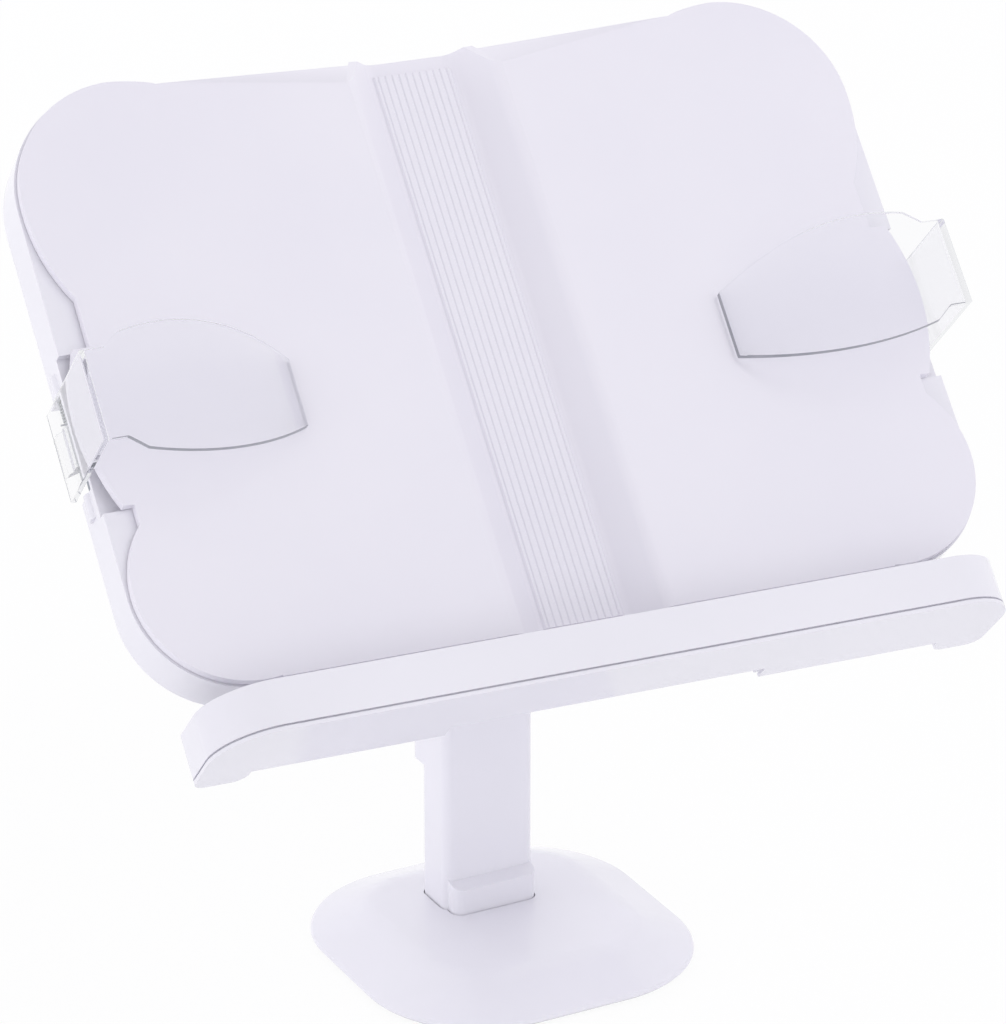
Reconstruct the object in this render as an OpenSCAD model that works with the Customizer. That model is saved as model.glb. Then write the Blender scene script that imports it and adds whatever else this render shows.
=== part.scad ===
/* [Stand] */
// lean of the board back from vertical, degrees
tilt = 45; // [40:1:50]
// turn of the foot under the board, degrees
swivel = 4.5; // [0:0.5:10]
// height of the tilt axle above the floor
hinge_height = 232.5; // [228:0.5:240]
// how far the mast can be pulled up
height_travel = 60; // [50:1:62]

/* [Base] */
// width and depth of the base
base_size = 139; // [134:0.5:148]
// corner radius of the base
base_corner = 49; // [46:1:54]
// height of the flat top of the base
base_height = 14; // [13.5:0.5:17]
// height of the outer edge of the base
base_edge = 3; // [3:0.1:4]
// width of the sloping border of the base
base_slope = 25; // [22:0.5:26]

/* [Column] */
// width of the column
column_width = 40; // [38:0.5:44]
// depth of the column
column_depth = 22; // [21.6:0.2:25]
// distance of the column behind the middle of the base
column_y = 20.5; // [18:0.5:24]
// corner radius of the column
column_corner = 4.5; // [3:0.5:6]
// height of the column above the base top
column_height = 114; // [111:1:118]
// depth of the toe at the foot of the column
toe_depth = 6; // [4:0.5:7]
// height of the back of the toe's sloping top
toe_height = 12.8; // [10:0.2:15]

/* [Board] */
// width of the front panel
panel_width = 342; // [330:1:356]
// height of the front panel at its corner lobes
panel_height = 245; // [238:1:254]
// radius of the upper corner lobes
upper_lobe = 46.5; // [44:0.5:49]
// radius of the lower corner lobes
lower_lobe = 40.5; // [38:0.5:43]
// height of the lobes above the top edge between them
lobe_rise = 3.5; // [2:0.5:5]
// depth of the scallops above and below each clip
scallop = 10; // [7:0.5:12]
// thickness of the whole board
board_depth = 25.5; // [24.5:0.5:28]
// visible edge of the front panel
panel_edge = 4; // [3.2:0.2:4.6]
// wall thickness of the mouldings
wall = 2.4; // [2.2:0.1:2.6]

/* [Spine] */
// depth of the channel between the two page rests
spine_depth = 13; // [12:0.5:13.5]
// gap between the spine strip and the channel's walls
strip_gap = 0.75; // [0.4:0.05:1.4]
// number of grooves in the spine strip
groove_count = 11; // [9:1:11]
// distance from groove to groove
groove_pitch = 2.87; // [2.6:0.01:2.95]
// width of a groove
groove_width = 1; // [0.7:0.1:1.3]

/* [Ledge] */
// length of the ledge
ledge_length = 322; // [312:1:330]
// how far the ledge stands in front of the panel
ledge_front = 23; // [19:1:28]
// height of the ledge's front lip
lip_height = 19.5; // [17:0.5:22]
// radius of the ledge's front corners
ledge_corner = 25; // [20:1:30]
// half width of the notch behind the ledge
notch_half = 64; // [57:1:70]

/* [Clips] */
// reach of a clip from the side of the board inward
clip_reach = 87.5; // [80:0.5:94]
// radius of the bow of a clip
clip_bow = 125; // [116:1:134]
// width of a clip at its outer bar
clip_bar = 36; // [32:1:38]
// width of a clip across its widest part
clip_span = 52.6; // [48:0.2:56]
// sheet thickness of a clip
clip_sheet = 2.2; // [1.8:0.1:2.4]

/* [Fits] */
// radial gap of a turning fit
run_fit = 0.05; // [0.02:0.01:0.08]
// gap at each side of a sliding fit
slide_gap = 0.2; // [0.15:0.05:0.3]
// open seam between two mouldings
seam = 0.4; // [0.3:0.1:0.5]
// gap round a piece set into a moulding
set_gap = 0.3; // [0.2:0.05:0.3]

/* [Hidden] */
$fn = 64;
eps = 0.02;
quarters = [0, 90, 180, 270];

white = [0.93, 0.93, 0.95];
clear = [0.85, 0.9, 0.95];
steel = [0.62, 0.64, 0.67];
rubber = [0.18, 0.18, 0.19];
brass = [0.8, 0.68, 0.4];
nylon = [0.88, 0.87, 0.83];

// Self-tapping screws of the mouldings
screw = 1.25;
screw_free = 1.6;
screw_head = 2.6;
screw_sink = 3;
screw_drive = 1.1;
boss = 4;

// Base
half_base = base_size / 2;
corner_at = half_base - base_corner;
skirt_z = 1.2;
plate_z = 2.2;
plate_thick = 2.2;
weight_z = plate_z + plate_thick;
plate_inset = wall + 6;
weight_half = half_base - base_slope - 3;
weight_corner = base_corner - 20;
weight_top = base_height - wall - 0.6;
pad_half = 50;
pad_corner = 30;
base_screw_at = half_base - 14;
base_screw_sink = plate_z + 1.2;
base_screw_end = weight_z + 3.4;

// Column, mast and clamp
mast_width = 29;
mast_depth = 14.4;
mast_wall = 1.8;
mast_corner = 2.2;
plug_wide = mast_width - 2 * mast_wall - 0.1;
plug_deep = mast_depth - 2 * mast_wall - 0.1;
plug_long = 18;
pin_drop = 9;
mast_pin = 1.6;
mast_pin_head = 2.1;
sleeve_wide = mast_width + 2;
sleeve_deep = mast_depth + 2;
sleeve_top = base_height + column_height;
collar_top = sleeve_top + 3;
stop_z = weight_top + 8;
shoe_foot = 3;
shoe_height = 14;
column_rear = column_depth / 2;
toe_inset = 1.5;
bolt = 2.5;
bolt_head = 4.6;
bolt_deep = plate_thick;
bolt_at = 10;
shoe_size = 10;
clamp_z = stop_z + shoe_foot + height_travel + shoe_size / 2 + 1;
clamp_half = 17;
clamp_swell = 8;
clamp_round = column_rear + clamp_swell + 6.2;
clamp_boss = 8;
clamp_back = column_rear + 8.6;
insert_at = column_rear + 1.2;
insert = 4.5;
shank = 3;
knob = 13.4;
knob_long = 12.4;
flute = 4.4;
liner_length = min(sleeve_top - stop_z - shoe_height - height_travel - 2, sleeve_top - clamp_z - 8);
mast_top = hinge_height - 22;

// Swivel and tilt hinge
disc = 14.5;
disc_thick = 3;
disc_z = mast_top + disc_thick;
pivot = 3.5;
pivot_head = 4.9;
pivot_end = disc_z + 9;
knuckle = 12;
knuckle_half = 12.3;
washer = 0.6;
ear_in = knuckle_half + washer;
ear_thick = 5.5;
ear_out = ear_in + ear_thick;
ear_root = 20;
axle = 4;
axle_head = 7;
axle_drive = 3.4;
axle_end = 6.6;
nut = 7.5;
nut_flange = 8;
hinge_n = -(board_depth + 17.5);
hinge_v = 117;
plate_wide = 100;
plate_high = 60;
bracket_thick = 4;
bracket_screw = 2;
bracket_free = 2.2;
bracket_boss = 5;

// Board
half_panel = panel_width / 2;
upper_x = half_panel - upper_lobe;
upper_v = panel_height - upper_lobe;
lower_x = half_panel - lower_lobe;
lower_v = lower_lobe;
top_v = panel_height - lobe_rise;
neck_x = half_panel - scallop;
sweep = 75;
clip_v = 107;
pocket_half = 32;
pocket_deep = 4;
bulge = 1.6;
bulge_round = 87;
rim_side = 1;
rim_top = 0.6;
half_frame = half_panel + rim_side;
frame_n = -(panel_edge + seam);
post_top = frame_n - 1;
strip_border = 1.9;
strip_half = (groove_count - 1) / 2 * groove_pitch + strip_border;
spine_floor = strip_half + strip_gap;
spine_top = spine_floor + spine_depth;
spine_wide = spine_top + wall * sqrt(2);
spine_back = spine_floor + 1;
channel_rise = 2;
facet_x = 104;
facet_drop = 6;
facet_low = 10.5;
facet_turn = atan2(facet_low, facet_x - spine_top);
facet_lean = atan2(facet_drop, facet_low * cos(facet_turn));
roll_high = 17;
roll_deep = 11;
panel_boss = 3.4;
panel_skin = 1.2;
strip_thick = 1.4;
strip_end = 4;
groove_floor = 0.5;

// Ledge
half_ledge = ledge_length / 2;
ledge_low = -27.5;
cover_thick = 1.4;
shadow_gap = 0.8;
shadow_deep = 1.6;
tray_low = ledge_low + cover_thick + shadow_gap;
lip_top = ledge_low + lip_height;
ledge_rear = 18.5;
end_rear = 27;
rail_rear = ledge_rear + 2.5;
end_half = 140;
end_corner = 6;
notch_n = -10;
rail_half = lower_x - 4;
rail_at = 8 - rail_rear;
trough_back = 10;
peg = 1.6;

// Clips
pin = 1.5;
riser_x = half_frame + 1.8;
riser_low = -board_depth;
clip_edge = riser_x + clip_sheet;
pin_x = riser_x - 4.6;
pin_n = riser_low + 8.5;
lug = 4.2;
lug_long = 10;
lug_gap = clip_bar + 2.4;
lug_low = clip_v - lug_gap / 2 - lug_long;
lug_high = clip_v + lug_gap / 2;
pin_end = 1;
barrel = 3.4;
barrel_long = 17;
recess_x = pin_x - barrel - 2;
recess_top = frame_n - pocket_deep - wall;
bow_x = clip_edge - 7.8;
tip_x = clip_edge - clip_reach;
tip_gap = 0.6;
bow_n = tip_gap - sqrt(pow(clip_bow - clip_sheet, 2) - pow(bow_x - tip_x, 2));
bar_n = bow_n + sqrt(pow(clip_bow - clip_sheet, 2) - pow(riser_x - bow_x, 2));
lens = 95;
lens_off = lens - clip_span / 2;
lens_x = clip_edge - 40;
strap_x = clip_edge - 9.5;
flare = 0.8;
clip_room = 40;

// Clip spring: one leg on the clip, the coil round the pin, one leg on the board
wire = 0.35;
coil = 2;
coil_start = 90;
coil_turn = 45;
coil_steps = 62;
spring_low = clip_v + barrel_long / 2 + 0.1 + wire;
spring_high = lug_high - 0.1 - wire;
coil_rise = (spring_high - spring_low) / coil_steps;
leg_out = riser_x - pin_x - wire - 0.1;
leg_up = recess_top - pin_n - 0.1;
spring_rings = [
  [
    [pin_x + leg_out, spring_low, pin_n + coil],
    [0, 0, 1],
    [0, 1, 0]
  ],
  for (i = [0:coil_steps])
    let (a = coil_start + i * coil_turn)
      [
        [pin_x + coil * cos(a), spring_low + i * coil_rise, pin_n + coil * sin(a)],
        [cos(a), 0, sin(a)],
        [0, 1, 0]
      ],
  [
    [pin_x + coil, spring_high, pin_n + leg_up],
    [1, 0, 0],
    [0, 1, 0]
  ]
];
spring_gap = min([
  for (i = [0:len(spring_rings) - 7], j = [i + 6:len(spring_rings) - 1])
    norm(spring_rings[i][0] - spring_rings[j][0])
]) - 2 * wire;
echo(spring_gap = spring_gap);

// Screw places at [x, v]
panel_posts = [
  [60, 14], [half_panel - 31, 40], [half_panel - 21, 110],
  [half_panel - 31, panel_height - 49], [60, panel_height - 31]
];
cover_posts = [
  [half_panel - 21, 50], [half_panel - 15, panel_height - 70],
  [facet_x + 12, panel_height - 19], [90, 12], [110, hinge_v]
];
panel_spots = [
  for (x = [-1, 1], p = panel_posts) [x * p[0], p[1]]
];
cover_spots = [
  for (x = [-1, 1], p = cover_posts) [x * p[0], p[1]]
];
bracket_spots = [for (x = [-42, 42], v = [-22, 22]) [x, hinge_v + v]];
// and along the ledge
rail_spots = [-100, -40, 40, 100];
ledge_spots = [-110, -40, 40, 110];
ledge_spot_n = 6;

// Board frame at [x, up the board, out of its face].
module on_board() {
  translate([0, column_y, hinge_height])
    rotate([90 - tilt, 0, 0])
      translate([0, -hinge_v, -hinge_n])
        children();
}

// Column frame, with the column's axis upright at its origin.
module on_column() {
  translate([0, column_y, 0])
    rotate([0, 0, swivel])
      children();
}

// Base frame, with the middle of the base at its origin.
module on_base() {
  on_column() translate([0, -column_y, 0]) children();
}

module both() {
  children();
  mirror([1, 0, 0]) children();
}

// Rounded rectangle, centred, made of exact arcs.
module soft_square(w, d, r) {
  square([w - 2 * r, d], center = true);
  square([w, d - 2 * r], center = true);
  for (x = [-1, 1], y = [-1, 1])
    translate([x * (w / 2 - r), y * (d / 2 - r)])
      circle(r);
}

module soft_box(w, d, r, z0, z1) {
  translate([0, 0, z0])
    linear_extrude(z1 - z0)
      soft_square(w, d, r);
}

// Screw head with a six-sided socket, its face at the origin and its body above.
module socket_head(r, h, drive) {
  difference() {
    cylinder(r = r, h = h);
    translate([0, 0, -1]) cylinder(r = drive, h = 1 + h * 0.6, $fn = 6);
  }
}

// Rounded square body from an edge profile drawn at [radius, height].
module edge_body(z0, z1) {
  translate([-corner_at, -corner_at, z0]) cube([2 * corner_at, 2 * corner_at, z1 - z0]);
  for (turn = quarters)
    rotate([0, 0, turn]) {
      translate([corner_at, corner_at, 0]) rotate_extrude() children();
      translate([corner_at, -corner_at, 0]) rotate([90, 0, 180]) mirror([1, 0, 0])
        linear_extrude(2 * corner_at) children();
    }
}

module base_profile(inset, low, high) {
  r = base_corner - inset;
  edge = base_edge - inset * 0.5;
  round = 1.4;
  polygon([
    [0, low], [r - round, low], [r, low + round], [r, edge], [r - 0.6, edge + 1],
    [r - base_slope + 7, high - 2.3], [r - base_slope + 3, high - 0.8],
    [r - base_slope - 1, high - 0.1], [r - base_slope - 4, high], [0, high]
  ]);
}

module base_cover() {
  color(white)
    on_base()
      difference() {
        edge_body(skirt_z, base_height)
          base_profile(0, skirt_z, base_height);
        difference() {
          edge_body(skirt_z - 1, base_height - wall)
            base_profile(wall, skirt_z - 1, base_height - wall);
          for (turn = quarters)
            rotate([0, 0, turn]) translate([base_screw_at, 0, weight_z]) cylinder(r = boss + 0.4, h = base_height);
        }
        translate([0, column_y, 0])
          linear_extrude(base_height + 1) column_outline(seam);
        for (turn = quarters)
          rotate([0, 0, turn]) translate([base_screw_at, 0, 0]) cylinder(r = screw, h = base_screw_end + 0.2);
      }
}

module base_weight() {
  color(steel)
    on_base()
      difference() {
        soft_box(2 * weight_half, 2 * weight_half, weight_corner, weight_z, weight_top);
        for (x = [-1, 1])
          translate([x * bolt_at, column_y, 0]) cylinder(r = bolt + 0.2, h = base_height);
      }
}

module base_plate() {
  color(white)
    on_base()
      difference() {
        soft_box(2 * (half_base - plate_inset), 2 * (half_base - plate_inset),
          base_corner - plate_inset, plate_z, weight_z);
        for (turn = quarters)
          rotate([0, 0, turn]) translate([base_screw_at, 0, 0]) {
            cylinder(r = screw_free, h = weight_z + 1);
            cylinder(r = screw_sink, h = base_screw_sink);
          }
        for (x = [-1, 1])
          translate([x * bolt_at, column_y, 0]) cylinder(r = bolt_head + 0.8, h = weight_z + 1);
      }
}

module base_pad() {
  color(rubber)
    on_base() soft_box(2 * pad_half, 2 * pad_half, pad_corner, 0, plate_z);
}

module base_screws() {
  color(steel)
    on_base()
      for (turn = quarters)
        rotate([0, 0, turn]) translate([base_screw_at, 0, 0]) {
          translate([0, 0, plate_z]) socket_head(screw_head, base_screw_sink - plate_z, screw_drive);
          translate([0, 0, base_screw_sink - eps]) cylinder(r = screw, h = base_screw_end - base_screw_sink);
        }
}

// Plan of the column with its toe, grown by g.
module column_outline(g) {
  soft_square(column_width + 2 * g, column_depth + 2 * g, column_corner + g);
  translate([0, -toe_depth])
    soft_square(column_width - 2 * toe_inset + 2 * g, column_depth + 2 * g, column_corner + g);
}

module column_sleeve() {
  toe_lean = 20;
  toe_room = 60;
  color(white)
    on_column()
      difference() {
        union() {
          soft_box(column_width, column_depth, column_corner, weight_top, sleeve_top);
          intersection() {
            translate([0, 0, weight_top]) linear_extrude(toe_room) column_outline(0);
            translate([0, -column_rear, base_height + toe_height])
              rotate([toe_lean, 0, 0])
                translate([-column_width, -toe_room, -toe_room]) cube([2 * column_width, 2 * toe_room, toe_room]);
          }
          intersection() {
            translate([0, clamp_swell, 0])
              soft_box(column_width, column_depth, column_corner, clamp_z - clamp_half, clamp_z + clamp_half);
            translate([0, 0, clamp_z])
              rotate([0, 90, 0]) cylinder(r = clamp_round, h = 2 * column_width, center = true);
          }
          translate([0, column_rear - 3, clamp_z])
            rotate([-90, 0, 0]) cylinder(r = clamp_boss, h = clamp_back - column_rear + 3);
        }
        soft_box(sleeve_wide, sleeve_deep, 1.5, stop_z, sleeve_top + 1);
        translate([0, 0, clamp_z])
          rotate([-90, 0, 0]) {
            cylinder(r = insert, h = clamp_back + 1);
            translate([-shoe_size / 2 - slide_gap, -shoe_size / 2 - slide_gap, 0])
              cube([shoe_size + 2 * slide_gap, shoe_size + 2 * slide_gap, column_rear + 1]);
          }
        for (x = [-1, 1])
          translate([x * bolt_at, 0, 0]) cylinder(r = bolt, h = stop_z - 1.5);
      }
}

module column_bolts() {
  color(steel)
    on_column()
      for (x = [-1, 1])
        translate([x * bolt_at, 0, 0]) {
          translate([0, 0, weight_z - bolt_deep]) socket_head(bolt_head, bolt_deep, bolt_head * 0.45);
          translate([0, 0, weight_z - eps]) cylinder(r = bolt, h = stop_z - 2 - weight_z);
        }
}

module sleeve_collar() {
  color(white)
    on_column()
      difference() {
        union() {
          soft_box(column_width, column_depth, column_corner, sleeve_top, collar_top);
          soft_box(sleeve_wide - 0.1, sleeve_deep - 0.1, 1.45, sleeve_top - liner_length, sleeve_top + eps);
        }
        soft_box(mast_width + 2 * slide_gap, mast_depth + 2 * slide_gap, mast_corner, stop_z, collar_top + 1);
      }
}

module clamp_shoe() {
  start = mast_depth / 2 + 0.15;
  color(nylon)
    on_column()
      translate([-shoe_size / 2, start, clamp_z - shoe_size / 2])
        cube([shoe_size, column_rear + 0.95 - start, shoe_size]);
}

module clamp_insert() {
  color(brass)
    on_column()
      translate([0, 0, clamp_z])
        rotate([-90, 0, 0])
          difference() {
            translate([0, 0, insert_at]) cylinder(r = insert, h = clamp_back - insert_at);
            cylinder(r = shank + run_fit, h = clamp_back + 1);
          }
}

module clamp_knob() {
  knob_at = clamp_back + seam;
  neck = 7;
  neck_long = 2;
  color(white)
    on_column()
      translate([0, 0, clamp_z])
        rotate([-90, 0, 0]) {
          translate([0, 0, insert_at]) cylinder(r = shank, h = knob_at + 1 - insert_at);
          difference() {
            translate([0, 0, knob_at])
              rotate_extrude()
                polygon([
                  [0, 0], [neck, 0], [neck, neck_long], [knob - 1, neck_long], [knob, neck_long + 1],
                  [knob, knob_long - 2.4], [knob - 1.6, knob_long - 0.8], [0, knob_long]
                ]);
            for (turn = [0:45:359])
              rotate([0, 0, turn]) translate([knob + 3, 0, clamp_back]) cylinder(r = flute, h = 20, $fn = 32);
          }
        }
}

module mast() {
  color(steel)
    on_column()
      difference() {
        soft_box(mast_width, mast_depth, mast_corner, stop_z + shoe_foot, mast_top);
        soft_box(mast_width - 2 * mast_wall, mast_depth - 2 * mast_wall, 0.8, stop_z, mast_top + 1);
        for (z = [stop_z + pin_drop, mast_top - pin_drop])
          translate([0, 0, z]) rotate([0, 90, 0]) cylinder(r = mast_pin_head, h = 2 * mast_width, center = true);
      }
}

module mast_shoe() {
  color(nylon)
    on_column() {
      soft_box(sleeve_wide - 2 * slide_gap, sleeve_deep - 2 * slide_gap, 1.4, stop_z, stop_z + shoe_foot);
      difference() {
        soft_box(plug_wide, plug_deep, 0.75, stop_z + shoe_foot - eps, stop_z + shoe_height);
        translate([0, 0, stop_z + pin_drop])
          rotate([0, 90, 0]) cylinder(r = mast_pin, h = mast_width, center = true);
      }
    }
}

module mast_plug() {
  color(nylon)
    on_column()
      difference() {
        union() {
          soft_box(plug_wide, plug_deep, 0.75, mast_top - plug_long, mast_top + eps);
          translate([0, 0, mast_top]) cylinder(r = disc, h = disc_thick);
        }
        translate([0, 0, mast_top - plug_long - 1]) cylinder(r = pivot + run_fit, h = plug_long + 10);
        for (side = [-1, 1])
          translate([side * mast_width / 2, 0, mast_top - pin_drop])
            rotate([0, 90, 0]) cylinder(r = mast_pin, h = mast_width - 2 * pivot - 4, center = true);
      }
}

module mast_pins() {
  inner = mast_width / 2 - mast_wall;
  length = 7;
  color(steel)
    on_column()
      for (z = [stop_z + pin_drop, mast_top - pin_drop], turn = [0, 180])
        translate([0, 0, z])
          rotate([0, 90, turn]) {
            translate([0, 0, inner - length]) cylinder(r = mast_pin, h = length + 0.2);
            translate([0, 0, inner + 0.1]) cylinder(r = mast_pin_head, h = mast_wall - 0.1);
          }
}

module mast_head() {
  color(white)
    translate([0, column_y, 0])
      difference() {
        union() {
          translate([0, 0, disc_z]) cylinder(r = disc, h = disc_thick);
          translate([-knuckle_half, -mast_depth / 2, disc_z + 1])
            cube([2 * knuckle_half, mast_depth, hinge_height - disc_z - 1]);
          translate([0, 0, hinge_height])
            rotate([0, 90, 0]) cylinder(r = knuckle, h = 2 * knuckle_half, center = true);
        }
        translate([0, 0, hinge_height])
          rotate([0, 90, 0]) cylinder(r = axle + run_fit, h = 4 * knuckle_half, center = true);
        translate([0, 0, mast_top]) cylinder(r = pivot, h = pivot_end + 0.5 - mast_top);
      }
}

module swivel_bolt() {
  head_long = 4;
  head_z = mast_top - plug_long - head_long;
  color(steel)
    translate([0, column_y, 0]) {
      translate([0, 0, head_z]) socket_head(pivot_head, head_long, pivot_head * 0.5);
      translate([0, 0, head_z + head_long - eps]) cylinder(r = pivot, h = pivot_end - head_z - head_long);
    }
}

module tilt_axle() {
  head_long = 4.4;
  color(steel)
    translate([0, column_y, hinge_height])
      rotate([0, 90, 0]) {
        translate([0, 0, -ear_out - eps]) cylinder(r = axle, h = 2 * ear_out + axle_end);
        translate([0, 0, -ear_out - head_long]) socket_head(axle_head, head_long, axle_drive);
      }
}

module axle_nut() {
  color(steel)
    translate([ear_out, column_y, hinge_height])
      rotate([0, 90, 0])
        difference() {
          union() {
            cylinder(r = nut, h = axle_end - 1, $fn = 6);
            cylinder(r = nut_flange, h = 1.2);
          }
          translate([0, 0, -1]) cylinder(r = axle, h = 2 * axle_end);
        }
}

module friction_washers() {
  color(nylon)
    for (x = [-ear_in, knuckle_half])
      translate([x, column_y, hinge_height])
        rotate([0, 90, 0])
          difference() {
            cylinder(r = knuckle - 0.5, h = washer);
            translate([0, 0, -1]) cylinder(r = axle + run_fit, h = washer + 2);
          }
}

module hinge_bracket() {
  reach = -hinge_n - board_depth;
  color(white)
    on_board()
      difference() {
        union() {
          translate([0, hinge_v, 0])
            soft_box(plate_wide, plate_high, 8, -board_depth - bracket_thick, -board_depth);
          both()
            translate([ear_in, hinge_v, hinge_n])
              rotate([0, 90, 0])
                linear_extrude(ear_thick) {
                  circle(knuckle);
                  polygon([
                    [0, -knuckle], [0, knuckle], [-reach + bracket_thick, ear_root], [-reach + 1, ear_root],
                    [-reach + 1, -ear_root], [-reach + bracket_thick, -ear_root]
                  ]);
                }
        }
        translate([0, hinge_v, hinge_n]) rotate([0, 90, 0]) cylinder(r = axle, h = plate_wide, center = true);
        for (p = bracket_spots)
          translate([p[0], p[1], -board_depth - bracket_thick - 1]) cylinder(r = bracket_free, h = bracket_thick + 2);
      }
}

module bracket_screws() {
  head_long = 2.4;
  color(steel)
    on_board()
      for (p = bracket_spots)
        translate([p[0], p[1], -board_depth - bracket_thick]) {
          translate([0, 0, -head_long]) socket_head(2 * bracket_screw - 0.2, head_long, bracket_screw * 0.8);
          translate([0, 0, -eps]) cylinder(r = bracket_screw, h = board_depth - 6);
        }
}

// Plan of the front panel, grown by g.
module face_outline(g) {
  translate([-upper_x, -g]) square([2 * upper_x, top_v + 2 * g]);
  translate([-neck_x - g, lower_v]) square([2 * (neck_x + g), upper_v - lower_v]);
  both() {
    translate([upper_x, upper_v]) circle(upper_lobe + g);
    translate([lower_x, lower_v]) circle(lower_lobe + g);
    intersection() {
      translate([half_panel - sweep, upper_v - 2]) circle(sweep + g, $fn = 128);
      translate([upper_x, upper_v - sweep * 0.6]) square([sweep, sweep * 0.6]);
    }
    intersection() {
      translate([upper_x, clip_v - pocket_half - g]) square([upper_lobe + scallop, 2 * (pocket_half + g)]);
      translate([half_panel + bulge - bulge_round, clip_v + 3]) circle(bulge_round + g, $fn = 128);
    }
  }
}

// Plan of the frame behind it, grown by g.
module frame_outline(g) {
  shift = rim_side - rim_top;
  translate([-upper_x, -rim_top - g]) square([2 * upper_x, top_v + 2 * (rim_top + g)]);
  translate([-half_frame - g, lower_v]) square([2 * (half_frame + g), upper_v - lower_v]);
  translate([-lower_x, -rim_top - g]) square([2 * lower_x, lower_v]);
  both() {
    translate([upper_x + shift, upper_v]) circle(upper_lobe + rim_top + g);
    translate([lower_x + shift, lower_v]) circle(lower_lobe + rim_top + g);
  }
}

// Plate parallel to the board's face from a plan drawn at [x, v].
module slab(n0, n1) {
  translate([0, 0, n0]) linear_extrude(n1 - n0) children();
}

// Body along the board's height from a section drawn at [x, n].
module rail(v0, v1) {
  translate([0, v1, 0]) rotate([90, 0, 0]) linear_extrude(v1 - v0) children();
}

// Section of the spine channel's back.
module channel_back() {
  polygon([
    [-spine_wide, 0], [-spine_back, -spine_depth - wall],
    [spine_back, -spine_depth - wall], [spine_wide, 0]
  ]);
}

// Everything in front of the rolled-back facet, lowered by s.
module facet_space(s) {
  both()
    translate([facet_x, top_v, -s])
      rotate([0, 0, facet_turn])
        rotate([-facet_lean, 0, 0])
          translate([-facet_x / cos(facet_turn), 0, 0]) cube([facet_x + 40, 60, 40]);
}

module face_panel() {
  color(white)
    on_board()
      difference() {
        union() {
          slab(-panel_edge, 0) face_outline(0);
          rail(0, top_v + channel_rise) channel_back();
          both() translate([spine_floor, top_v - roll_high, -roll_deep]) cube([facet_x - spine_floor, roll_high, roll_deep]);
        }
        rail(-1, top_v + channel_rise + 1)
          polygon([
            [-spine_top - 1, 1], [-spine_floor, -spine_depth],
            [spine_floor, -spine_depth], [spine_top + 1, 1]
          ]);
        facet_space(0);
        difference() {
          union() {
            slab(-panel_edge - 1, -wall) face_outline(-wall);
            both()
              translate([spine_floor + 3, top_v - roll_high + 2, -roll_deep - 1])
                cube([facet_x - spine_floor - 5, roll_high - 2 - wall, roll_deep + 1 - wall]);
          }
          rail(-1, top_v + 1) channel_back();
          facet_space(wall + 0.4);
          for (p = panel_spots)
            translate([p[0], p[1], -roll_deep]) cylinder(r = panel_boss, h = 2 * roll_deep);
        }
        for (p = panel_spots)
          translate([p[0], p[1], -roll_deep]) cylinder(r = screw, h = roll_deep - panel_skin);
      }
}

module spine_strip() {
  color(white)
    on_board()
      difference() {
        translate([-strip_half, strip_end, -spine_depth]) cube([2 * strip_half, top_v - 2 * strip_end, strip_thick]);
        for (i = [0:groove_count - 1])
          translate([(i - (groove_count - 1) / 2) * groove_pitch - groove_width / 2, strip_end + 2, -spine_depth + groove_floor])
            cube([groove_width, top_v - 2 * strip_end - 4, strip_thick]);
      }
}

module board_frame() {
  color(white)
    on_board()
      difference() {
        union() {
          difference() {
            slab(-board_depth, frame_n) frame_outline(0);
            slab(-board_depth - 1, frame_n - wall) frame_outline(-wall);
            rail(-20, top_v + 20)
              polygon([
                [-spine_wide - seam, 1], [-spine_wide - seam, -spine_depth + 6],
                [-spine_back - 5, -spine_depth - wall - seam],
                [spine_back + 5, -spine_depth - wall - seam],
                [spine_wide + seam, -spine_depth + 6], [spine_wide + seam, 1]
              ]);
            translate([-facet_x - seam, top_v - roll_high - 1, -roll_deep - seam])
              cube([2 * (facet_x + seam), 2 * roll_high, 2 * roll_deep]);
          }
          for (p = cover_spots)
            translate([p[0], p[1], -board_depth + wall]) cylinder(r = boss, h = board_depth - wall + post_top);
          for (p = bracket_spots)
            translate([p[0], p[1], -board_depth + wall]) cylinder(r = bracket_boss, h = board_depth - wall + post_top);
          both() {
            intersection() {
              slab(-board_depth, frame_n) frame_outline(0);
              union() {
                translate([neck_x - 1 - wall, clip_v - pocket_half - wall, recess_top])
                  cube([40, 2 * (pocket_half + wall), frame_n - recess_top]);
                translate([recess_x - wall, lug_low, -board_depth])
                  cube([40, lug_gap + 2 * lug_long, board_depth + recess_top + eps]);
              }
            }
            for (v = [lug_low, lug_high])
              rail(v, v + lug_long) translate([pin_x, pin_n]) circle(lug);
          }
        }
        both()
          translate([pin_x, lug_low + pin_end - 0.2, pin_n])
            rotate([-90, 0, 0]) cylinder(r = pin, h = lug_gap + 2 * (lug_long - pin_end + 0.2));
        both()
          translate([neck_x - 1, clip_v - pocket_half, frame_n - pocket_deep]) cube([40, 2 * pocket_half, 10]);
        both()
          translate([recess_x, clip_v - lug_gap / 2, -board_depth - 1])
            cube([40, lug_gap, board_depth + 1 + recess_top]);
        for (p = cover_spots)
          translate([p[0], p[1], -board_depth - 1]) cylinder(r = screw, h = 12);
        for (p = bracket_spots)
          translate([p[0], p[1], -board_depth - 1]) cylinder(r = bracket_screw, h = board_depth + frame_n - 1);
        for (p = panel_spots)
          translate([p[0], p[1], frame_n - wall - 1]) cylinder(r = screw_free, h = 10);
        for (x = rail_spots)
          translate([x, -5, rail_at]) rotate([-90, 0, 0]) cylinder(r = screw_free, h = 12);
      }
}

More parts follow.
